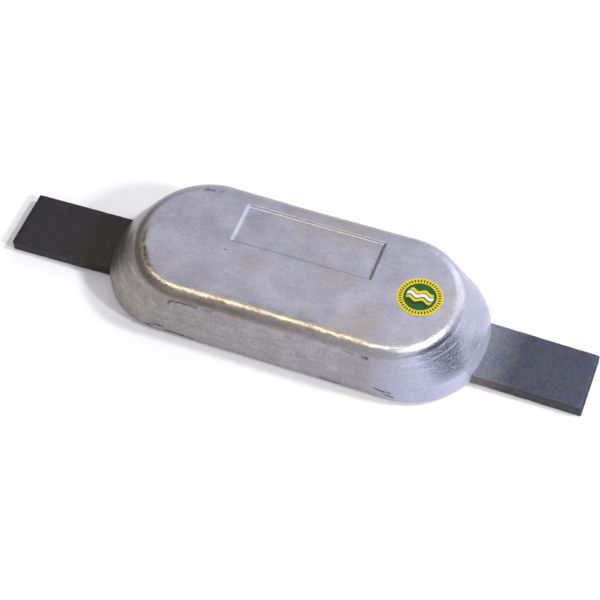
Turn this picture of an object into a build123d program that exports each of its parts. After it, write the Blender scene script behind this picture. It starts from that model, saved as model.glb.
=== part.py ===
"""Weld-on sacrificial anode: a round-ended casting poured round one flat steel bar, with a round
label on its top.  Millimetres, +Z up.  The origin is under the middle of the anode, level with the
undersides of the bar's two tips, and +X runs along the bar."""
from build123d import *

import os
from math import cos, radians, sin, tan

# ---- steel bar -------------------------------------------------------------------------------
strap_width = 40.0            # flat bar stock, 40 x 8
strap_thickness = 8.0
strap_free_length = 69.5      # measured along the bar, from each bend to its tip
strap_droop = 1.5             # degrees that each free end bends down towards the hull
bend_cover = 8.0              # how far inside the casting's ends the bends lie
strap_edge_radius = 0.8       # rolled edges of the bar
strap_tip_chamfer = 0.8       # top edge that the shear leaves turned over on each tip

# ---- casting: foot outline, upper outline, heights --------------------------------------------
casting_length = 237.0
casting_width = 97.0
foot_end_depth = 45.0         # how far each rounded end runs past the straight sides
end_arc_angle = 45.0          # degrees to each side that the wide arc across an end sweeps
casting_height = 38.0         # from the flat back to the flat top
foot_band_height = 12.0       # near-upright band that the bar comes out of
side_inset = 3.5              # how much narrower each side is at the top than at the foot
end_inset = 20.0              # how much shorter each end is at the top than at the foot
top_edge_radius = 10.0        # big rounding round the flat top
shoulder_radius = 14.0        # soft bend where the band meets the leaning walls
back_edge_chamfer = 2.2       # broken rim of the back, where the pour ended
same_height = 0.01            # edges this close in height belong to the same outline

# ---- sunk panel in the top ---------------------------------------------------------------------
panel_length = 85.0           # flat floor of the panel
panel_width = 26.0
panel_depth = 1.0
panel_wall_run = 1.6          # how far the sloping walls of the panel run outwards
panel_from_centreline = 18.0  # panel's middle, off the casting's long centreline

# ---- label ---------------------------------------------------------------------------------------
label_diameter = 27.0
label_thickness = 0.2
label_from_end = 44.0         # label's middle, back from the casting's right end
label_from_centreline = 1.5

# ---- places that follow from the sizes above ---------------------------------------------------
bend_x = casting_length / 2 - bend_cover
droop = radians(strap_droop)
strap_middle_z = strap_free_length * sin(droop) + strap_thickness / 2 * cos(droop)  # tips end at z = 0
back_z = strap_middle_z - strap_thickness / 2           # the bar lies flush with the casting's back
label_x = casting_length / 2 - label_from_end
top_z = back_z + casting_height
band_z = back_z + foot_band_height


def round_ended_outline(length, width, end_depth, z):
    """Straight sides joined by flattened half circles that run end_depth past them: each has one
    wide arc across the end and a tighter arc at each corner, all tangent."""
    straight = length / 2 - end_depth
    half_width = width / 2
    slope = tan(radians(end_arc_angle) / 2)
    corner_radius = (end_depth - half_width * slope) / (1 - slope)
    corner_y = half_width - corner_radius
    end_radius = corner_radius + corner_y / sin(radians(end_arc_angle))
    end_x = straight - corner_y / tan(radians(end_arc_angle))
    with BuildSketch(Plane.XY.offset(z)) as outline:
        with BuildLine():
            Line((-straight, -half_width), (straight, -half_width))
            CenterArc((straight, -corner_y), corner_radius, -90, 90 - end_arc_angle)
            CenterArc((end_x, 0), end_radius, -end_arc_angle, 2 * end_arc_angle)
            CenterArc((straight, corner_y), corner_radius, end_arc_angle, 90 - end_arc_angle)
            Line((straight, half_width), (-straight, half_width))
            CenterArc((-straight, corner_y), corner_radius, 90, 90 - end_arc_angle)
            CenterArc((-end_x, 0), end_radius, 180 - end_arc_angle, 2 * end_arc_angle)
            CenterArc((-straight, -corner_y), corner_radius, 180 + end_arc_angle, 90 - end_arc_angle)
        make_face()
    return outline.sketch


def steel_strap():
    """The bar's section swept along its middle line, mitred at each bend, its edges worked last."""
    tip_x = bend_x + strap_free_length * cos(droop)
    tip_z = strap_middle_z - strap_free_length * sin(droop)
    path = Polyline(
        (-tip_x, 0, tip_z), (-bend_x, 0, strap_middle_z), (bend_x, 0, strap_middle_z), (tip_x, 0, tip_z))
    start = Plane(origin=path @ 0, z_dir=path % 0, x_dir=(0, 1, 0))
    section = start * Rectangle(strap_width, strap_thickness)
    bar = sweep(section, path=path, transition=Transition.RIGHT)
    ends = bar.faces().sort_by(Axis.X)
    tip_edges = [end.edges().filter_by(Axis.Y).sort_by(Axis.Z)[-1] for end in (ends[0], ends[-1])]
    bar = chamfer(tip_edges, strap_tip_chamfer)
    sides = bar.edges().group_by(Axis.Y)
    return fillet(sides[0] + sides[-1], strap_edge_radius)


def anode_casting(strap):
    """Upright foot band, lofted leaning walls, softened edges, sunk panel, and a slot for the bar."""
    foot = round_ended_outline(casting_length, casting_width, foot_end_depth, band_z)
    top_width = casting_width - 2 * side_inset
    top = round_ended_outline(casting_length - 2 * end_inset, top_width, top_width / 2, top_z)
    block = extrude(foot, amount=-foot_band_height) + loft([foot.face(), top.face()], ruled=True)
    block = fillet(block.edges().group_by(Axis.Z)[-1], top_edge_radius)
    shoulder = block.edges().filter_by_position(Axis.Z, band_z - same_height, band_z + same_height)
    block = fillet(shoulder, shoulder_radius)
    block = chamfer(block.edges().group_by(Axis.Z)[0], back_edge_chamfer)
    panel_floor = Plane.XY.offset(top_z - panel_depth) * Pos(0, panel_from_centreline) * Rectangle(
        panel_length, panel_width)
    panel_mouth = Plane.XY.offset(top_z) * Pos(0, panel_from_centreline) * Rectangle(
        panel_length + 2 * panel_wall_run, panel_width + 2 * panel_wall_run)
    return block - loft([panel_floor.face(), panel_mouth.face()]) - strap


def round_label():
    """A thin disc lying on the flat top."""
    return Plane.XY.offset(top_z) * Pos(label_x, label_from_centreline) * extrude(
        Circle(label_diameter / 2), amount=label_thickness)


strap = steel_strap()
parts = {
    "anode_casting": anode_casting(strap),
    "steel_strap": strap,
    "round_label": round_label(),
}
os.makedirs("parts", exist_ok=True)
for name, shape in parts.items():
    shape.label = name
    export_step(shape, f"parts/{name}.step")
    box = shape.bounding_box()
    print(f"{name}: {shape.volume:.0f} mm3, x {box.min.X:.2f} to {box.max.X:.2f}, "
          f"y {box.min.Y:.2f} to {box.max.Y:.2f}, z {box.min.Z:.2f} to {box.max.Z:.2f}")
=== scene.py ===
from math import atan2, cos, degrees, exp, hypot, pi, radians, sin, tan

import bmesh
import bpy
from mathutils import Matrix, Vector, noise


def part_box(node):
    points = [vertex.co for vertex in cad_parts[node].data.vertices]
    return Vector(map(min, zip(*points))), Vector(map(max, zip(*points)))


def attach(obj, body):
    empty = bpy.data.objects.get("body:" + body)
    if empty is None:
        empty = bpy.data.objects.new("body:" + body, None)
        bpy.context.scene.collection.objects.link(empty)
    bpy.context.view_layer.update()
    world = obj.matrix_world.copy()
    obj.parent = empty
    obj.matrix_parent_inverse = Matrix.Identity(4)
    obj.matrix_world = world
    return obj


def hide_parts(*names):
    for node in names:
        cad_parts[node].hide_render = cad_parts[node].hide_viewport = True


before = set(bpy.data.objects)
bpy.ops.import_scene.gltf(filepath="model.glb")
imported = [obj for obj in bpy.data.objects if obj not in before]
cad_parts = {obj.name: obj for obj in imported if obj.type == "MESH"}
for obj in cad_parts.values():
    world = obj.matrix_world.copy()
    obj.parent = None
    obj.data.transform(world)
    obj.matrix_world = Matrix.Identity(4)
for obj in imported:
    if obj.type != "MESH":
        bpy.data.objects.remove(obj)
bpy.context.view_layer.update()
mm = 0.001
creaseAngle = radians(50)   # faces that meet at more than this keep a sharp edge
print("frame loaded:", sorted(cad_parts))


def toLinear(hexColour):
    parts = [int(hexColour[i:i + 2], 16) / 255 for i in (1, 3, 5)]
    return tuple(c / 12.92 if c <= 0.04045 else ((c + 0.055) / 1.055) ** 2.4 for c in parts) + (1.0,)


def grey(level):
    return (level, level, level, 1.0)


def addNode(tree, kind, inputs=None, stops=(), **settings):  # sockets are linked, anything else is set
    node = tree.nodes.new(kind)
    for name, value in settings.items():
        setattr(node, name, value)
    for name, value in (inputs or {}).items():
        if isinstance(value, bpy.types.NodeSocket):
            tree.links.new(value, node.inputs[name])
        else:
            node.inputs[name].default_value = toLinear(value) if isinstance(value, str) else value
    elements = node.color_ramp.elements if stops else []
    while len(elements) < len(stops):
        elements.new(0.5)
    for element, (place, tone) in zip(elements, stops):  # a tone is a hex colour or a plain level
        element.position, element.color = place, toLinear(tone) if isinstance(tone, str) else grey(tone)
    return node


def newMaterial(name):
    material = bpy.data.materials.new(name)
    material.use_nodes = True
    material.node_tree.nodes.clear()
    return material, material.node_tree


def smooth(value, start, full):  # 0 up to the start, 1 past full, smooth between, either way round
    t = min(max((value - start) / (full - start), 0.0), 1.0)
    return t * t * (3 - 2 * t)


def gauss(value):
    return exp(-value * value)


def finishPiece(bm, name, material, cadNode):
    bmesh.ops.recalc_face_normals(bm, faces=bm.faces)
    mesh = bpy.data.meshes.new(name)
    bm.to_mesh(mesh)
    bm.free()
    mesh.shade_smooth()
    mesh.set_sharp_from_angle(angle=creaseAngle)
    piece = bpy.data.objects.new(name, mesh)
    bpy.context.scene.collection.objects.link(piece)
    mesh.materials.append(material)
    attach(piece, "root")
    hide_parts(cadNode)
    print(name, len(mesh.polygons), "faces")


castLow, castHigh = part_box("anode_casting")

casting = {                       # alloy poured round the middle of the bar
    "length": castHigh.x - castLow.x,
    "width": castHigh.y - castLow.y,
    "endDepth": 45 * mm,          # how far a rounded end runs past the straight sides
    "endArc": radians(45),        # the wide arc across an end turns this far to each side
    "backZ": castLow.z,
    "height": castHigh.z - castLow.z,
    "footHeight": 12 * mm,
    "sideInset": 3.5 * mm,
    "endInset": 20 * mm,
    "browRadius": 10 * mm,        # rounding round the flat top
    "shoulderRadius": 14 * mm,
    "rimRadius": 3 * mm,
    "endSteps": 168,              # steps round each end
    "sideSteps": 150,             # steps along each straight side
    "runs": (4, 6, 42, 30),       # steps along the back, foot, wall and top
    "turns": (5, 12, 16),         # steps round the rim, shoulder and brow
}
casting["topRadius"] = casting["width"] / 2 - casting["sideInset"]   # the flat top's ends are half circles
casting["topEndX"] = casting["length"] / 2 - casting["endInset"] - casting["topRadius"]   # and their middle


def outlinePoint(length, width, endDepth, place):  # place is a point of the two unit half circles
    turn = tan(casting["endArc"] / 2)
    halfWidth, straight = width / 2, length / 2 - endDepth
    cornerRadius = (endDepth - halfWidth * turn) / (1 - turn)
    cornerY = halfWidth - cornerRadius
    if abs(place.x) <= 1:
        return Vector((place.x * straight, place.y * halfWidth, 0))
    side = 1 if place.x > 0 else -1
    angle = atan2(place.y, abs(place.x) - 1)
    if abs(angle) > casting["endArc"]:
        centre = Vector((straight, cornerY if angle > 0 else -cornerY, 0))
        radius = cornerRadius
    else:
        centre = Vector((straight - cornerY / tan(casting["endArc"]), 0, 0))
        radius = cornerRadius + cornerY / sin(casting["endArc"])
    point = centre + radius * Vector((cos(angle), sin(angle), 0))
    point.x *= side
    return point


def spinePoint(straight, place):  # where an outline shrinks to on the long centreline
    return Vector((min(max(place.x, -1), 1) * straight, 0, 0))


def roundedPath(corners, radii, runs, turns):  # straight runs joined by exact arcs
    path, last = [corners[0]], corners[0]
    for i, radius in enumerate(radii):
        before, corner, after = corners[i:i + 3]
        inward, onward = (before - corner).normalized(), (after - corner).normalized()
        turn = pi - inward.angle(onward)
        reach, pull = radius * tan(turn / 2), cos(turn / 2)
        start, end = corner + inward * reach, corner + onward * reach
        path += [last.lerp(start, (k + 1) / runs[i]) for k in range(runs[i])]
        for k in range(turns[i]):
            t = (k + 1) / turns[i]
            weights = ((1 - t) ** 2, 2 * t * (1 - t) * pull, t * t)
            path.append((start * weights[0] + corner * weights[1] + end * weights[2]) / sum(weights))
        last = end
    return path + [last.lerp(corners[-1], (k + 1) / runs[-1]) for k in range(runs[-1])]


def castingTrack(place):  # one line of points from the middle of the back to the middle of the top
    c = casting
    topLength = c["length"] - 2 * c["endInset"]
    foot = outlinePoint(c["length"], c["width"], c["endDepth"], place)
    brow = outlinePoint(topLength, 2 * c["topRadius"], c["topRadius"], place)
    back, shoulder, top = (Vector((0, 0, c["backZ"] + h)) for h in (0, c["footHeight"], c["height"]))
    corners = [
        spinePoint(c["length"] / 2 - c["endDepth"], place) + back,
        foot + back, foot + shoulder, brow + top,
        spinePoint(c["topEndX"], place) + top,
    ]
    radii = (c["rimRadius"], c["shoulderRadius"], c["browRadius"])
    return roundedPath(corners, radii, c["runs"], c["turns"])


def startCasting():
    bm = bmesh.new()
    placeLayer = bm.verts.layers.float_vector.new("place")
    first = bm.verts.new((0, -1, 0))
    bmesh.ops.spin(bm, geom=[first], axis=(0, 0, 1), cent=(0, 0, 0), angle=pi, steps=casting["endSteps"])
    copied = bmesh.ops.duplicate(bm, geom=bm.verts[:] + bm.edges[:])["geom"]
    left = [g for g in copied if isinstance(g, bmesh.types.BMVert)]
    right = [v for v in bm.verts if v not in set(left)]
    bmesh.ops.rotate(bm, verts=left, cent=(0, 0, 0), matrix=Matrix.Rotation(pi, 3, "Z"))
    bmesh.ops.translate(bm, verts=left, vec=(-1, 0, 0))
    bmesh.ops.translate(bm, verts=right, vec=(1, 0, 0))
    sides = []
    for edgeY in (-1, 1):
        ends = [min(group, key=lambda v: abs(v.co.y - edgeY)) for group in (left, right)]
        sides.append(bm.edges.new(ends))
    bmesh.ops.subdivide_edges(bm, edges=sides, cuts=casting["sideSteps"] - 1)
    for v in bm.verts:
        v[placeLayer] = v.co
    ringEdges = bm.edges[:]
    tracks = {}
    for v in bm.verts:
        tracks[tuple(round(c, 5) for c in v.co)] = castingTrack(v.co.copy())
    steps = len(next(iter(tracks.values())))
    ring = bm.verts[:]
    for step in range(steps):
        if step:
            grown = bmesh.ops.extrude_edge_only(bm, edges=ringEdges)["geom"]
            ring = [g for g in grown if isinstance(g, bmesh.types.BMVert)]
            ringEdges = [g for g in grown if isinstance(g, bmesh.types.BMEdge)]
        for v in ring:
            v.co = tracks[tuple(round(c, 5) for c in v[placeLayer])][step]
    bmesh.ops.remove_doubles(bm, verts=bm.verts, dist=0.001 * mm)
    bmesh.ops.recalc_face_normals(bm, faces=bm.faces)
    return bm


panel = {                         # sunk into the top, for a maker's plate
    "length": 85 * mm, "width": 26 * mm, "centreY": 18 * mm,   # flat floor
    "depth": 1.0 * mm, "mouth": 1.6 * mm,                      # the mouth stands this far outside the floor
    "runs": {(1, 0): 2.0, (-1, 0): 2.4, (0, 1): 0.7, (0, -1): 1.7},   # mm that each side's wall slopes over
    "soften": 0.3,                                             # mm that a wall's two edges are eased over
    "cuts": (-0.4, 0.0, 0.35, 0.7, 1.2, 1.7, 2.3, 2.9),        # mm inwards from the mouth
    "cutReach": 3 * mm,                                        # faces this far round the mouth are cut too
}


def sinkPanel(bm):
    topZ = casting["backZ"] + casting["height"]
    half = Vector((panel["length"] / 2 + panel["mouth"], panel["width"] / 2 + panel["mouth"]))
    centre = Vector((0, panel["centreY"], topZ))

    def inwards(point, side):  # how far a point is inside one side of the mouth
        return half.dot([abs(c) for c in side]) - (point - centre).xy.dot(side)

    def inside(point, extra):
        level = abs(point.z - topZ) < 0.01 * mm
        return level and all(inwards(point, side) > -extra for side in panel["runs"])

    for cut in panel["cuts"]:
        for side in panel["runs"]:
            normal = Vector((*side, 0))
            faces = [f for f in bm.faces if inside(f.calc_center_median(), panel["cutReach"])]
            parts = list({g for f in faces for g in (*f.verts, *f.edges, f)})
            spot = centre + normal * (half.dot([abs(c) for c in side]) - cut * mm)
            bmesh.ops.bisect_plane(bm, geom=parts, dist=0.01 * mm, plane_co=spot, plane_no=normal)
    soften = panel["soften"]
    for v in [v for v in bm.verts if inside(v.co, 0.4 * mm)]:
        v.co.z -= panel["depth"] * min(smooth(inwards(v.co, side) / mm, -soften, run + soften)
                                       for side, run in panel["runs"].items())


# marks that the pour and handling left, as lines of (x, y, height above the back) in mm
marks = {
    "crack": (0.45, 0.85, ((-62.8, -46, 30.0), (-61.7, -46, 31.6), (-55.4, -46, 32.2), (-49.1, -46, 32.4),
                           (-44.4, -46, 31.7))),
    "crackTail": (0.35, 0.7, ((-42.0, -46, 32.6), (-36.6, -46, 32.2))),
    "crackDrop": (0.3, 0.5, ((-62.8, -46, 30.0), (-63.4, -46.5, 28.2))),
    "wallPit": (0.6, 1.1, ((56.3, -46, 32.0), (58.8, -46, 32.0))),
    "wallPitTail": (0.2, 0.7, ((44.5, -46, 33.0), (50.5, -46, 32.6))),
    "footScarA": (0.45, 0.5, ((-79.4, -48.2, 4.9), (-75.6, -48.4, 3.6), (-73.5, -48.5, 5.2))),
    "footScarB": (0.45, 0.5, ((-77.8, -48.3, 3.2), (-75.2, -48.5, 6.8), (-72.2, -48.5, 6.6))),
    "footScarC": (0.3, 0.6, ((-71.9, -48.5, 7.0), (-67.2, -48.5, 6.4))),
    "footLineLeft": (0.35, 0.6, ((-66, -48.5, 4.2), (-57.4, -48.5, 3.9), (-48.0, -48.5, 3.2))),
    "footLineRight": (0.25, 0.6, ((31.2, -48.5, 3.3), (36.8, -48.5, 2.8), (43.0, -48.5, 2.6))),
    "footScarRight": (0.4, 0.7, ((64.5, -48.5, 8.8), (69.0, -48.5, 8.0), (73.6, -48.5, 8.4))),
    "footScarLow": (0.3, 0.6, ((70.0, -48.5, 5.6), (76.0, -48.2, 5.0))),
    "farPitA": (0.3, 0.9, ((-71.9, 34.6, 38), (-70.0, 34.9, 38))),
    "farPitB": (0.2, 0.6, ((-67.4, 35.2, 38), (-66.4, 35.6, 38))),
    "farPitC": (0.15, 0.5, ((-62.4, 36.1, 38), (-61.7, 36.4, 38))),
    "browPitA": (0.3, 0.5, ((-89.6, -17.8, 38), (-89.0, -19.4, 38))),
    "browPitB": (0.3, 0.5, ((-87.2, -22.4, 38), (-86.4, -23.6, 38))),
    "topPitB": (0.15, 0.5, ((-44.0, -4.0, 38), (-43.2, -4.2, 38))),
}

# cold laps, where one wave of metal set before the next: end, height, depth, breadth, angles (degrees)
laps = (
    (1, 33.4, 0.03, 0.35, -58, -4), (1, 29.4, 0.04, 0.35, -66, 2), (1, 25.2, 0.04, 0.35, -62, 6),
    (1, 19.8, 0.04, 0.35, -56, 12), (1, 16.2, 0.03, 0.3, -30, 64), (1, 13.6, 0.04, 0.35, -44, 76),
    (-1, 31.0, 0.06, 1.1, -54, -24), (-1, 21.4, 0.06, 1.2, -56, -10), (-1, 18.4, 0.04, 0.7, -50, -16),
    (-1, 15.6, 0.05, 0.6, -26, 44),
)

skin = {                          # all in mm
    "sink": 0.24,                 # how far the skin lies under the plain shape
    "waves": ((34, 0.13), (11, 0.045), (4.2, 0.012)),   # breadth and height of the unevenness
    "calm": (22, 14), "calmShare": 0.85,                # how much of it goes, and how near the label
    "lapReach": 4, "lapWander": 0.35, "lapFall": 0.7,   # a lap's groove is this much of its ridge
    "markReach": (18, 12), "fineReach": (16, 12),       # marks are looked for this far from their start
    "fineBand": 2.2,                                    # the mesh is finer this near a mark
    "tuck": 1.8, "tuckWidth": 22, "tuckHeight": (28, 12),   # drawn in above the bar
    "lip": 0.5, "lipHeight": 7.9, "lipBreadth": 1.1, "lipWidth": (20, 16),   # and out along its top
    "exitX": 95,                                        # the tuck and the lip are only past this
    "panelReach": (50, 20),                             # the top is rubbed less this near the panel
    "goldHighlightLine": 35.8, "fringe": 40.4,                   # how far from the centreline each one runs
}

# each fade: what it runs over (mm, or lean, which is the normal's z), where it starts, where it is full
fades = {
    "wall": ("lean", 0.97, 0.55), "offWall": ("lean", 0.2, 0.5), "offTop": ("lean", 0.999, 0.985),
    "offFlat": ("lean", 0.9995, 0.992), "onSlope": ("lean", 0.99, 0.9),
    "nearSide": ("y", -20, -44), "nearHalf": ("y", 10, -10), "farFade": ("y", 34, 0),
    "fringeY": ("y", 4, -12), "fringeX": ("x", -72, -82),
    "leftEnd": ("x", -58, -90), "rightEnd": ("x", 58, 86),
    "goldHighlightX": ("x", 80, 30), "shadeX": ("x", -40, 80), "warmX": ("x", 70, -30),
    "goldHighlightMiddle": ("out", 60, 28), "footEnd": ("out", 88, 106), "low": ("z", 21, 11),
}


def lineDistance(point, line):
    best = 1e9
    for start, end in zip(line, line[1:]):
        along = end - start
        t = min(max((point - start).dot(along) / along.length_squared, 0), 1)
        best = min(best, (point - start - along * t).length)
    return best


def wearAt(spot, lean):  # how much of each finish a spot of the skin has, 0 to 1
    at = {"x": spot.x, "y": spot.y, "z": spot.z, "out": abs(spot.x), "lean": lean}
    f = {name: smooth(at[over], start, full) for name, (over, start, full) in fades.items()}
    brow = f["offWall"] * f["offTop"]
    reachX, reachY = skin["panelReach"]
    roundPanel = abs(spot.x) < reachX and abs(spot.y - panel["centreY"] / mm) < reachY
    rubbed = max(0.9 * brow * (1 - 0.5 * f["leftEnd"]), f["wall"] * f["rightEnd"])
    line = gauss((lean - 0.95) / 0.07) * f["offFlat"]            # a golden tint painted where the warm lamp's highlight falls along the near brow, a painted highlight
    line = max(line, 0.5 * gauss((spot.y + skin["goldHighlightLine"]) / 1.5) * f["goldHighlightMiddle"])
    underBrow = gauss((lean - 0.72) / 0.25) * f["nearSide"]
    underBrow *= (1 - 0.75 * f["shadeX"]) * (1 - 0.4 * f["leftEnd"])
    # painted shade: the left end's walls are painted darker brown
    leftWall = 0.45 * f["leftEnd"] * f["onSlope"] * (1 - 0.5 * f["nearSide"]) * f["farFade"]
    fromSpine = hypot(max(abs(spot.x) - casting["topEndX"] / mm, 0), spot.y)
    fringe = gauss((fromSpine - skin["fringe"] - noise.noise(spot / 7)) / 1.5)   # a dark brown band round the flat top's edge at the left end
    fringe *= f["fringeX"] * f["fringeY"] * (0.8 + 0.5 * noise.noise(spot / 4))
    return {
        "wall": f["wall"],
        "rub": 0.3 * brow if roundPanel else rubbed,
        "goldHighlight": line * max(f["nearSide"] * f["goldHighlightX"], 0.4 * f["leftEnd"] * f["nearHalf"]),
        # brown on the walls towards the left, under the near brow and in the fringe, with painted shade on
        # the left end's walls
        "brownAndShade": max(0.2 * f["wall"] * f["warmX"], underBrow, leftWall, 1.3 * fringe),
        "darkMarks": 0.75 * max(fringe, 0) * smooth(noise.noise(spot / 1.9), -0.05, 0.4),
        "foot": f["low"] * f["footEnd"] * (1.0 if spot.x > 0 else 0.6),
        "lap": 0.0,
    }


def lapAt(spot, side, angle):  # how far the laps lift a spot, and how much of a ridge it is on
    lift = shown = 0.0
    for end, height, depth, breadth, low, high in laps:
        if end != side or abs(spot.z - height) > skin["lapReach"]:
            continue
        wander = skin["lapWander"] * noise.noise(Vector((angle / 30, height, side)))
        fade = smooth(angle, low - 6, low + 10) * smooth(angle, high + 6, high - 10)
        fade *= smooth(noise.noise(Vector((angle / 9, height * 2, side))), -0.4, 0.3)
        step = (spot.z - height - wander) / breadth
        lift += depth * fade * (gauss(step) - skin["lapFall"] * gauss(step + 1.7))
        shown = max(shown, fade * gauss(step))
    return lift, shown


def nearStart(spot, line, reach):
    return abs(spot.x - line[0].x) < reach[0] and abs(spot.y - line[0].y) < reach[1]


def markAt(spot, lines):  # how far the marks sink a spot, and how dark it is in them
    sunk = dark = 0.0
    for depth, half, line in lines:
        if nearStart(spot, line, skin["markReach"]):
            ragged = half * (1 + 0.5 * noise.noise(spot / 1.3))
            near = gauss(lineDistance(spot, line) / ragged) * (0.55 + 0.45 * noise.noise(spot / 1.7))
            sunk += depth * near
            dark = max(dark, min(1.5 * near, 1))
    return sunk, dark


def exitShift(spot, side):  # the skin draws in above the bar, and its edge lies out along the bar's top
    if abs(spot.x) < skin["exitX"] or abs(spot.y) > skin["tuckWidth"]:
        return 0.0
    tuck = skin["tuck"] * (1 - (spot.y / skin["tuckWidth"]) ** 2) * smooth(spot.z, *skin["tuckHeight"])
    lip = skin["lip"] * gauss((spot.z - skin["lipHeight"]) / skin["lipBreadth"])
    return side * (lip * smooth(abs(spot.y), *skin["lipWidth"]) - tuck)


def castSpot(v):  # mm, with its height above the back
    return Vector((v.co.x, v.co.y, v.co.z - casting["backZ"])) / mm


def textureCasting(bm):  # moves the skin, and keeps with it what the finish needs to know
    layers = {name: bm.verts.layers.float.new(name) for name in alloy["masks"]}
    lines = [(depth, half, [Vector(spot) for spot in line]) for depth, half, line in marks.values()]
    labelSpot = sum(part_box("round_label"), Vector()) / 2 / mm
    fine = set()
    for v in bm.verts:
        spot = castSpot(v)
        if any(nearStart(spot, line, skin["fineReach"]) and lineDistance(spot, line) < skin["fineBand"]
               for depth, half, line in lines):
            fine.add(v)
    edges = [e for e in bm.edges if e.verts[0] in fine and e.verts[1] in fine]
    bmesh.ops.subdivide_edges(bm, edges=edges, cuts=2, use_grid_fill=True)
    bm.normal_update()
    moved = []
    for v in bm.verts:
        spot = castSpot(v)
        if spot.z < 0.02:
            continue
        side = 1 if spot.x > 0 else -1
        angle = degrees(atan2(spot.y, max(abs(spot.x) - casting["topEndX"] / mm, 0.001)))
        masks = wearAt(spot, v.normal.z)
        lift = -skin["sink"] + sum(noise.noise(spot / size + Vector((7, 3, size))) * height
                                   for size, height in skin["waves"])
        lift *= 1 - skin["calmShare"] * smooth((spot - labelSpot).xy.length, *skin["calm"])
        if masks["wall"] > 0.05:
            raised, masks["lap"] = lapAt(spot, side, angle)
            lift += raised
        sunk, dark = markAt(spot, lines)
        masks["darkMarks"] = max(masks["darkMarks"], dark)
        for name, layer in layers.items():
            v[layer] = masks[name]
        moved.append((v, (v.normal * (lift - sunk) + Vector((exitShift(spot, side), 0, 0))) * mm))
    for v, shift in moved:
        v.co += shift
    for v in bm.verts:  # nothing passes the faces that the casting is measured over
        v.co.y = min(max(v.co.y, castLow.y), castHigh.y)
        v.co.z = min(v.co.z, castHigh.z)


alloy = {
    "along": (-0.1, 0.1),        # where a colour that changes along the anode starts and ends, m
    "masks": ("wall", "darkMarks", "lap", "rub", "brownAndShade", "goldHighlight", "foot"),   # kept with the mesh, 0 to 1
    "noises": {                  # scale, detail, roughness and stretch along x, y and z
        "cloud": (48, 7, 0.62, (1, 1, 1)),        # stains about 20 mm across
        "patch": (17, 4, 0.55, (1, 1, 1)),        # warmer patches about 60 mm across
        "scuff": (150, 6, 0.7, (1, 2.2, 1)),      # scuffs along the anode
        "speck": (420, 2, 0.5, (1, 1, 1)),        # pinholes, drawn about 1 mm across
        "grain": (620, 3, 0.6, (1, 1, 1)),        # the skin's grain, drawn about 1.5 mm coarse
        "smear": (60, 7, 0.68, (1, 1, 4)),        # metal drawn along the walls
        "streak": (130, 5, 0.7, (1, 1, 5)),
        "mottle": (110, 6, 0.65, (1, 1, 1)),
        "pebble": (240, 4, 0.6, (1, 1, 1)),
        "sand": (900, 3, 0.7, (1, 1, 1)),         # mould sand, drawn about 1 mm coarse
    },
    "ramps": {                   # what drives each one, then its stops
        "top": ("cloud", ((0.36, "#9B9BAA"), (0.62, "#A9A9B8"))),
        "patchy": ("patch", ((0.48, 0.0), (0.62, 0.85))),
        "pinholes": ("speck", ((0.68, 1.0), (0.74, 0.8))),
        "scuffed": ("scuff", ((0.3, 0.94), (0.62, 1.03))),
        # the walls' colour along the anode: brownish at the left, and a painted reflection that makes the
        # right end's walls pale and bluish
        "side": ("along", ((0.0, "#A39F9C"), (0.4, "#B0ADB0"), (0.62, "#AFABB1"), (0.78, "#A19DA5"),
                           (0.92, "#B2B4CC"))),
        "drawn": ("along", ((0.6, 1.0), (0.85, 0.15))),         # the smears fade out round the right end
        "smeared": ("smear", ((0.3, 0.8), (0.68, 1.1))),
        "streaked": ("streak", ((0.32, 0.92), (0.6, 1.03))),
        "mottled": ("mottle", ((0.3, 0.76), (0.66, 1.06))),
        "sanded": ("grain", ((0.32, 0.92), (0.64, 1.05))),
        "stained": ("mottle", ((0.3, 0.7), (0.6, 1.0))),
        "patched": ("mottle", ((0.4, 0.55), (0.56, 1.12))),
        "flecked": ("scuff", ((0.36, 0.7), (0.56, 1.1))),
        "goldHighlightTint": ("goldHighlight", ((0.0, 0.0), (1.0, 0.85))),
        "grained": ("grain", ((0.35, 0.93), (0.6, 1.03))),
        "lapEnds": ("along", ((0.4, 0.3), (0.7, 0.62))),
        "dull": ("cloud", ((0.3, 0.36), (0.7, 0.44))),
        "sparse": ("sand", ((0.5, 0.0), (0.57, 0.3))),
        "worn": ("along", ((0.85, 0.0), (0.93, 1.0))),
        # painted light: the top a little brighter towards the right end
        "paintedLightRight": ("along", ((0.45, 0.98), (1.0, 1.1))),
    },
    "products": {
        "brown": ("brownAndShade", "stained"), "lapped": ("lap", "lapEnds"), "sandy": ("sparse", "worn"),
        "speckle": ("sandy", "wall"),
    },
    "layers": (                  # what each layer goes over, how much of it, and its colour
        ("top", "patchy", "#9E9A9A", "MIX"),
        # painted light: the top brightened towards the right end
        ("top", 1.0, "paintedLightRight", "MULTIPLY"),
        ("top", 1.0, "pinholes", "MULTIPLY"),
        ("top", 1.0, "scuffed", "MULTIPLY"),
        ("side", "drawn", "smeared", "MULTIPLY"),
        ("side", "drawn", "streaked", "MULTIPLY"),
        ("side", "drawn", "mottled", "MULTIPLY"),
        ("side", "drawn", "sanded", "MULTIPLY"),
        ("top", "wall", "side", "MIX"),
        # the brown tone, with painted shade on the left end's walls
        ("top", "brown", "#6A6056", "MIX"),
        # painted highlight: a golden tint where the warm lamp's highlight falls on the brow
        ("top", "goldHighlightTint", "#958B6F", "MIX"),
        ("top", "goldHighlightTint", "patched", "MULTIPLY"),
        ("top", "goldHighlightTint", "flecked", "MULTIPLY"),
        ("top", 1.0, "grained", "MULTIPLY"),
        ("top", "lapped", "#CDCDDC", "MIX"),
        # the sunk marks and the pits by the left brow, painted dark
        ("top", "darkMarks", "#2A2322", "MIX"),
        ("dull", "rub", grey(0.165), "MIX"),
    ),
    "pale": ("speckle", "lapped", "foot"), "metallic": (0.92, 0.25),   # thick skin mirrors less
    "pebbleBump": (0.2, 0.0006),                  # strength, and height in metres
    "sandBump": ((0.2, 0.5), 0.0003),             # stronger where it is rubbed
}


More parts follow.
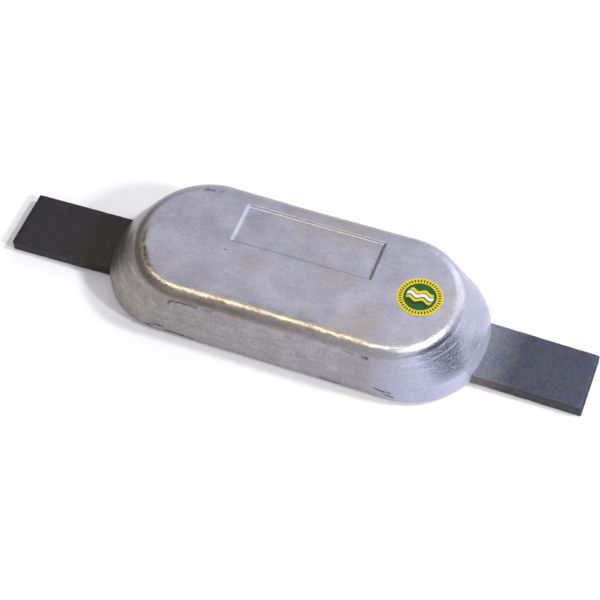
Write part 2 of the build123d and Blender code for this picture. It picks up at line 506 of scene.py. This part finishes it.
def makeCastAlloy():  # as-cast aluminium alloy: a dull lilac-grey oxide skin, bright where it is rubbed
    material, tree = newMaterial("castAlloy")
    spot = addNode(tree, "ShaderNodeTexCoord").outputs["Object"]
    x = addNode(tree, "ShaderNodeSeparateXYZ", {0: spot}).outputs["X"]
    left, right = alloy["along"]
    along = addNode(tree, "ShaderNodeMapRange", {"Value": x, "From Min": left, "From Max": right})
    made = {"along": along.outputs[0]}
    for name in alloy["masks"]:
        made[name] = addNode(tree, "ShaderNodeAttribute", attribute_name=name).outputs["Fac"]
    for name, (scale, detail, roughness, stretch) in alloy["noises"].items():
        drawn = addNode(tree, "ShaderNodeMapping", {"Vector": spot, "Scale": stretch})
        cloud = addNode(tree, "ShaderNodeTexNoise", {"Vector": drawn.outputs[0], "Scale": scale,
                                                     "Detail": detail, "Roughness": roughness})
        made[name] = cloud.outputs["Fac"]
    for name, (source, stops) in alloy["ramps"].items():
        made[name] = addNode(tree, "ShaderNodeValToRGB", {"Fac": made[source]}, stops).outputs[0]
    for name, (first, second) in alloy["products"].items():
        both = addNode(tree, "ShaderNodeMath", {0: made[first], 1: made[second]}, operation="MULTIPLY")
        made[name] = both.outputs[0]
    for under, amount, over, way in alloy["layers"]:
        inputs = {"Factor": made.get(amount, amount), 6: made[under], 7: made.get(over, over)}
        mixed = addNode(tree, "ShaderNodeMix", inputs, data_type="RGBA", blend_type=way)
        made[under] = mixed.outputs[2]
    pale = made[alloy["pale"][0]]
    for name in alloy["pale"][1:]:
        pale = addNode(tree, "ShaderNodeMath", {0: pale, 1: made[name]}, operation="MAXIMUM").outputs[0]
    bright, dim = alloy["metallic"]
    metal = addNode(tree, "ShaderNodeMapRange", {"Value": pale, "To Min": bright, "To Max": dim})
    strength, height = alloy["pebbleBump"]
    pebbled = addNode(tree, "ShaderNodeBump", {"Height": made["pebble"], "Strength": strength,
                                               "Distance": height})
    (least, most), height = alloy["sandBump"]
    rough = addNode(tree, "ShaderNodeMapRange", {"Value": made["rub"], "To Min": least, "To Max": most})
    sanded = addNode(tree, "ShaderNodeBump", {"Height": made["sand"], "Strength": rough.outputs[0],
                                              "Distance": height, "Normal": pebbled.outputs[0]})
    shader = addNode(tree, "ShaderNodeBsdfPrincipled", {
        "Base Color": made["top"], "Metallic": metal.outputs[0],
        "Roughness": made["dull"], "Normal": sanded.outputs[0]})
    addNode(tree, "ShaderNodeOutputMaterial", {"Surface": shader.outputs[0]})
    return material


castingMesh = startCasting()
sinkPanel(castingMesh)
textureCasting(castingMesh)
print("casting shaped")
finishPiece(castingMesh, "anodeCasting", makeCastAlloy(), "anode_casting")

bar = {                           # the flat bar that the anode is welded on by
    "width": 40 * mm, "thickness": 8 * mm,
    "tipX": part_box("steel_strap")[1].x,
    "bendX": casting["length"] / 2 - 7.98 * mm,
    "droop": radians(1.5),
    "proud": 0.03 * mm,           # how far it stands out of the casting's back
    "edgeRadius": 0.9 * mm,
    "cuts": (220, 24, 4),         # along its length, width and thickness
    # the rest in mm
    "sink": 0.05, "waves": (9, 0.04),                      # breadth and height of the unevenness
    "edge": (2.0, 0.2), "nicks": 0.35, "nickLength": 5,    # nicks in the long edges, and how deep they go
    "tip": 3, "chips": 0.18, "chipLength": 2.5,            # chips in the sheared tips
    "roll": 2.2, "rollDepth": 0.9,                         # the tips' top edges, turned over by the blade
}


def buildBar():
    bm = bmesh.new()
    bmesh.ops.create_cube(bm, size=1)
    bmesh.ops.scale(bm, vec=(2 * bar["tipX"], bar["width"], bar["thickness"]), verts=bm.verts)
    bmesh.ops.bevel(bm, geom=bm.edges[:], offset=bar["edgeRadius"], offset_type="OFFSET", affect="EDGES",
                    segments=3, profile=0.5, material=-1)
    sizes = (2 * bar["tipX"], bar["width"], bar["thickness"])
    for axis, (size, cuts) in enumerate(zip(sizes, bar["cuts"])):
        normal = Vector([axis == i for i in range(3)])
        for k in range(1, cuts):
            bmesh.ops.bisect_plane(bm, geom=bm.verts[:] + bm.edges[:] + bm.faces[:], dist=0.001 * mm,
                                   plane_co=normal * size * (k / cuts - 0.5), plane_no=normal)
    middleZ = casting["backZ"] + bar["thickness"] / 2 - bar["proud"]
    for v in bm.verts:
        past = max(abs(v.co.x) - bar["bendX"], 0)
        v.co.z += middleZ - past * tan(bar["droop"])
    return bm


def roughenBar(bm):  # the shear turns the tips' edges over, and handling nicks the long edges
    bm.normal_update()
    breadth, height = bar["waves"]
    moved = []
    for v in bm.verts:
        spot = v.co / mm
        toTip = (bar["tipX"] - abs(v.co.x)) / mm
        toSide = (bar["width"] / 2 - abs(v.co.y)) / mm
        lift = -bar["sink"] + height * noise.noise(spot / breadth)
        nicked = max(0, noise.noise(Vector((spot.x / bar["nickLength"], spot.y, spot.z / 9))))
        lift -= smooth(toSide, *bar["edge"]) * nicked * bar["nicks"]
        if toTip < bar["tip"]:
            lift -= bar["chips"] * max(0, noise.noise(Vector((spot.y / bar["chipLength"], spot.z / 4, 5))))
        shift = v.normal * lift * mm
        if v.normal.z > 0.3 and toTip < bar["roll"]:   # the side that the blade came down on
            shift.z -= (1 - toTip / bar["roll"]) ** 2 * bar["rollDepth"] * mm
        moved.append((v, shift))
    for v, shift in moved:
        v.co += shift
    return bm


steel = {
    "along": (-0.18, 0.18),      # from tip to tip, m
    "noises": {"blotch": (75, 6, 0.6), "flake": (520, 4, 0.7)},   # 13 mm blotches; flakes drawn 2 mm coarse
    "ramps": {
        # painted shadow and light: a painted olive shadow of the casting on the left half, and the right
        # half painted paler, palest by the casting, as painted light
        "colour": ("along", ((0.0, "#2E2D33"), (0.1, "#2B2A30"), (0.13, "#28251F"), (0.2, "#2C2923"),
                             (0.8, "#989DB0"), (0.88, "#505360"), (1.0, "#4E5368"))),
        "blotched": ("blotch", ((0.34, "#BFC6E0"), (0.5, "#D2D2D8"), (0.66, "#DCD6CB"))),
        "flaked": ("flake", ((0.3, 0.66), (0.7, 1.3))),
        "shadedSides": ("facing", ((0.4, "#F4E2CE"), (0.8, "#FFFFFF"))),      # painted shade: the sides and underside are painted darker and browner than the top
        "shine": ("blotch", ((0.3, 0.36), (0.7, 0.55))),
    },
    "metallic": 0.45, "flakeBump": (0.35, 0.0003),
}


def makeRolledSteel():  # hot-rolled steel: blue-black mill scale, with a painted olive shadow of the casting on the left and painted light making the right half paler by the casting
    material, tree = newMaterial("rolledSteel")
    places = addNode(tree, "ShaderNodeTexCoord").outputs
    x = addNode(tree, "ShaderNodeSeparateXYZ", {0: places["Object"]}).outputs["X"]
    left, right = steel["along"]
    along = addNode(tree, "ShaderNodeMapRange", {"Value": x, "From Min": left, "From Max": right})
    facing = addNode(tree, "ShaderNodeSeparateXYZ", {0: places["Normal"]})
    made = {"facing": facing.outputs["Z"], "along": along.outputs[0]}
    for name, (scale, detail, roughness) in steel["noises"].items():
        cloud = addNode(tree, "ShaderNodeTexNoise", {"Vector": places["Object"], "Scale": scale,
                                                     "Detail": detail, "Roughness": roughness})
        made[name] = cloud.outputs["Fac"]
    for name, (source, stops) in steel["ramps"].items():
        made[name] = addNode(tree, "ShaderNodeValToRGB", {"Fac": made[source]}, stops).outputs[0]
    for over in ("blotched", "flaked", "shadedSides"):
        mixed = addNode(tree, "ShaderNodeMix", {"Factor": 1.0, 6: made["colour"], 7: made[over]},
                        data_type="RGBA", blend_type="MULTIPLY")
        made["colour"] = mixed.outputs[2]
    strength, height = steel["flakeBump"]
    bump = addNode(tree, "ShaderNodeBump", {"Height": made["flake"], "Strength": strength,
                                            "Distance": height})
    shader = addNode(tree, "ShaderNodeBsdfPrincipled", {
        "Base Color": made["colour"], "Metallic": steel["metallic"],
        "Roughness": made["shine"], "Normal": bump.outputs[0]})
    addNode(tree, "ShaderNodeOutputMaterial", {"Surface": shader.outputs[0]})
    return material


finishPiece(roughenBar(buildBar()), "weldBar", makeRolledSteel(), "steel_strap")

labelLow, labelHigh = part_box("round_label")
label = {                         # a sticker with waves in a green disc and even ticks round its rim
    "centre": (labelLow + labelHigh) / 2,
    "radius": (labelHigh.x - labelLow.x) / 2,
    "thickness": labelHigh.z - labelLow.z,
    "facets": 96,                 # straight sides that stand for its round edge
    # the print, in mm
    "paperInk": "#E0CC22", "disc": 9.7, "discInk": "#1C5622",
    "sea": 8.0, "swell": 8.0, "rise": 0.9,
    "tickBand": (10.5, 12.4), "ticks": 40, "tickHalf": 0.24, "tickInk": "#26360F",
    "waves": ((2.6, 4.6, "#E0CC22"), (-0.4, 2.0, "#E8E8E8"),     # lowest, highest, ink
              (-3.1, -1.3, "#E0CC22"), (-5.2, -3.9, "#1C2418")),
    "roughness": 0.4, "specular": 0.25,
}


def buildLabel():
    bm = bmesh.new()
    bmesh.ops.create_circle(bm, cap_ends=True, cap_tris=False, segments=label["facets"],
                            radius=label["radius"])
    face = bmesh.ops.extrude_face_region(bm, geom=bm.faces[:])["geom"]
    bmesh.ops.translate(bm, verts=[g for g in face if isinstance(g, bmesh.types.BMVert)],
                        vec=(0, 0, label["thickness"]))
    bmesh.ops.translate(bm, verts=bm.verts, vec=(label["centre"].x, label["centre"].y, labelLow.z))
    return bm


def makePrintedVinyl():  # printed vinyl: flat inks with a slight sheen
    material, tree = newMaterial("printedVinyl")
    spot = addNode(tree, "ShaderNodeTexCoord").outputs["Object"]
    middle = (label["centre"].x, label["centre"].y, 0)
    centred = addNode(tree, "ShaderNodeVectorMath", {0: spot, 1: middle}, operation="SUBTRACT")
    flat = addNode(tree, "ShaderNodeVectorMath", {0: centred.outputs[0], 1: (1 / mm, 1 / mm, 0)},
                   operation="MULTIPLY")
    parts = addNode(tree, "ShaderNodeSeparateXYZ", {0: flat.outputs[0]}).outputs
    fromMiddle = addNode(tree, "ShaderNodeVectorMath", {0: flat.outputs[0]}, operation="LENGTH")
    made = {"x": parts["X"], "y": parts["Y"], "r": fromMiddle.outputs["Value"]}
    sums = [  # each one is worked out from those before it
        ("phase", "MULTIPLY", "x", 2 * pi / label["swell"]), ("sine", "SINE", "phase"),
        ("wave", "MULTIPLY", "sine", label["rise"]), ("level", "SUBTRACT", "y", "wave"),
        ("angle", "ARCTAN2", "y", "x"), ("count", "MULTIPLY", "angle", label["ticks"] / (2 * pi)),
        ("part", "FRACT", "count"), ("tick", "COMPARE", "part", 0.5, label["tickHalf"]),
        ("disc", "LESS_THAN", "r", label["disc"]), ("sea", "LESS_THAN", "r", label["sea"]),
    ]
    inked = [("disc", label["discInk"])]
    bands = [("r", "tick", *label["tickBand"], label["tickInk"])]
    bands += [("level", "sea", *wave) for wave in label["waves"]]
    for k, (value, within, low, high, ink) in enumerate(bands):
        sums += [(f"band{k}", "COMPARE", value, (low + high) / 2, (high - low) / 2),
                 (f"mask{k}", "MULTIPLY", f"band{k}", within)]
        inked.append((f"mask{k}", ink))
    for name, operation, *values in sums:
        inputs = {i: made.get(value, value) for i, value in enumerate(values)}
        made[name] = addNode(tree, "ShaderNodeMath", inputs, operation=operation).outputs[0]
    colour = toLinear(label["paperInk"])
    for mask, ink in inked:
        inputs = {"Factor": made[mask], 6: colour, 7: ink}
        colour = addNode(tree, "ShaderNodeMix", inputs, data_type="RGBA").outputs[2]
    shader = addNode(tree, "ShaderNodeBsdfPrincipled", {
        "Base Color": colour, "Roughness": label["roughness"], "Specular IOR Level": label["specular"]})
    addNode(tree, "ShaderNodeOutputMaterial", {"Surface": shader.outputs[0]})
    return material


finishPiece(buildLabel(), "roundLabel", makePrintedVinyl(), "round_label")

view = {"place": (0.230842, -0.582733, 0.850659), "azimuth": 0.3756, "elevation": 0.9332,
        "roll": -0.0225, "lens": 105.487, "film": 36}   # metres, radians and mm

cameraData = bpy.data.cameras.new("camera")
cameraData.lens, cameraData.sensor_width = view["lens"], view["film"]
camera = bpy.data.objects.new("camera", cameraData)
turned = Matrix.Rotation(view["azimuth"], 3, "Z") @ Matrix.Rotation(pi / 2 - view["elevation"], 3, "X")
turned = turned @ Matrix.Rotation(view["roll"], 3, "Z")
camera.location, camera.rotation_euler = view["place"], turned.to_euler()
bpy.context.scene.collection.objects.link(camera)
bpy.context.scene.camera = camera
bpy.context.scene.view_settings.view_transform = "Standard"

stage = {
    "size": 6,                                # half the floor's width, m
    "paper": (0.88, 0.885, 0.905, 1.0),       # how pale the floor is
    "glow": (0.12, 1.0, 0.7, 2.2),            # whitens the floor that is seen: near, far, from, to (m)
    "level": 0.62,                            # the room's light on the object
    "room": ((0.5, 1.0), (1.0, "#F4F1F8")),   # from level to straight up
    "flags": (                                # dark sides of the room: direction, cosines of reach, colour
        ((0.95, -0.20, 0.18), 0.82, 0.90, "#0C0910"),
        ((-0.90, 0.16, 0.38), 0.60, 0.92, "#9A8D80"),
    ),
}


def seenBy(tree, kinds):  # 1 for a ray of any of these kinds
    rays = addNode(tree, "ShaderNodeLightPath").outputs
    total = rays[kinds[0]]
    for kind in kinds[1:]:
        total = addNode(tree, "ShaderNodeMath", {0: total, 1: rays[kind]}, operation="MAXIMUM").outputs[0]
    return total


backdropRays = ("Is Camera Ray", "Is Glossy Ray", "Is Transmission Ray")

floorMesh = bmesh.new()
bmesh.ops.create_grid(floorMesh, x_segments=1, y_segments=1, size=stage["size"])
floorData = bpy.data.meshes.new("floor")
floorMesh.to_mesh(floorData)
floorMesh.free()
floor = bpy.data.objects.new("floor", floorData)
bpy.context.scene.collection.objects.link(floor)
paper, tree = newMaterial("whitePaper")
spot = addNode(tree, "ShaderNodeTexCoord").outputs["Object"]
reach = addNode(tree, "ShaderNodeVectorMath", {0: spot}, operation="LENGTH").outputs["Value"]
near, far, start, end = stage["glow"]
level = addNode(tree, "ShaderNodeMapRange", {"Value": reach, "From Min": start, "From Max": end,
                                             "To Min": near, "To Max": far})
coat = addNode(tree, "ShaderNodeBsdfDiffuse", {"Color": stage["paper"]}).outputs[0]
glow = addNode(tree, "ShaderNodeEmission", {"Color": grey(1.0), "Strength": level.outputs[0]})
whitened = addNode(tree, "ShaderNodeAddShader", {0: coat, 1: glow.outputs[0]})
shown = addNode(tree, "ShaderNodeMixShader", {0: seenBy(tree, backdropRays), 1: coat,
                                              2: whitened.outputs[0]})
addNode(tree, "ShaderNodeOutputMaterial", {"Surface": shown.outputs[0]})
floorData.materials.append(paper)

world = bpy.data.worlds.new("studio")
bpy.context.scene.world = world
world.use_nodes = True
tree = world.node_tree
tree.nodes.clear()
towards = addNode(tree, "ShaderNodeTexCoord").outputs["Generated"]
heading = addNode(tree, "ShaderNodeSeparateXYZ", {0: towards})
room = addNode(tree, "ShaderNodeValToRGB", {"Fac": heading.outputs["Z"]}, stage["room"]).outputs[0]
for direction, edge, core, colour in stage["flags"]:
    side = addNode(tree, "ShaderNodeVectorMath", {0: towards, 1: direction}, operation="DOT_PRODUCT")
    inputs = {"Value": side.outputs["Value"], "From Min": edge, "From Max": core}
    reach = addNode(tree, "ShaderNodeMapRange", inputs, interpolation_type="SMOOTHSTEP")
    inputs = {"Factor": reach.outputs[0], 6: room, 7: colour}
    room = addNode(tree, "ShaderNodeMix", inputs, data_type="RGBA").outputs[2]
lit = addNode(tree, "ShaderNodeBackground", {"Color": room, "Strength": stage["level"]})
mirrored = addNode(tree, "ShaderNodeBackground", {"Color": room, "Strength": 1.0})
white = addNode(tree, "ShaderNodeBackground", {"Color": grey(1.0), "Strength": 1.0})
inside = addNode(tree, "ShaderNodeMixShader", {0: seenBy(tree, backdropRays), 1: lit.outputs[0],
                                               2: mirrored.outputs[0]})
shown = addNode(tree, "ShaderNodeMixShader", {0: seenBy(tree, backdropRays[:1]), 1: inside.outputs[0],
                                              2: white.outputs[0]})
addNode(tree, "ShaderNodeOutputWorld", {"Surface": shown.outputs[0]})

lamps = {  # place and size in metres, watts, colour; True is only mirrored, False only lights what is matt
    "keyLamp": ((2.64, 0.56, 2.92), (0.36, 0.36), 70, "#FFFFFF", False),
    "sideLamp": ((3.20, -0.88, 2.24), (0.36, 0.36), 71, "#FFFFFF", False),
    "ceilingStrip": ((1.05, -0.06, 1.75), (1.15, 0.85), 18, "#FFFFFF", True),
    "warmStrip": ((-0.50, 0.12, 1.90), (0.2, 1.4), 10, "#FFF8E4", True),
    "frontSpot": ((1.20, -1.12, 1.16), (0.16, 0.16), 0.8, "#FFFFFF", True),
    "backWindow": ((0.83, 1.56, 0.94), (1.45, 1.8), 11, "#E6EAFF", True),
    "sideWindow": ((1.55, -1.20, 0.34), (1.0, 0.5), 1.3, "#E6EAFF", True),
}
for name, (place, size, power, colour, reflected) in lamps.items():
    data = bpy.data.lights.new(name, "AREA")
    data.shape, data.size, data.size_y = "RECTANGLE", size[0], size[1]
    data.energy, data.color = power, toLinear(colour)[:3]
    lamp = bpy.data.objects.new(name, data)
    lamp.location = place
    lamp.rotation_euler = Vector(place).to_track_quat("Z", "Y").to_euler()
    lamp.visible_glossy, lamp.visible_diffuse, lamp.visible_camera = reflected, not reflected, False
    bpy.context.scene.collection.objects.link(lamp)
print("floor, room and", len(lamps), "lamps set")
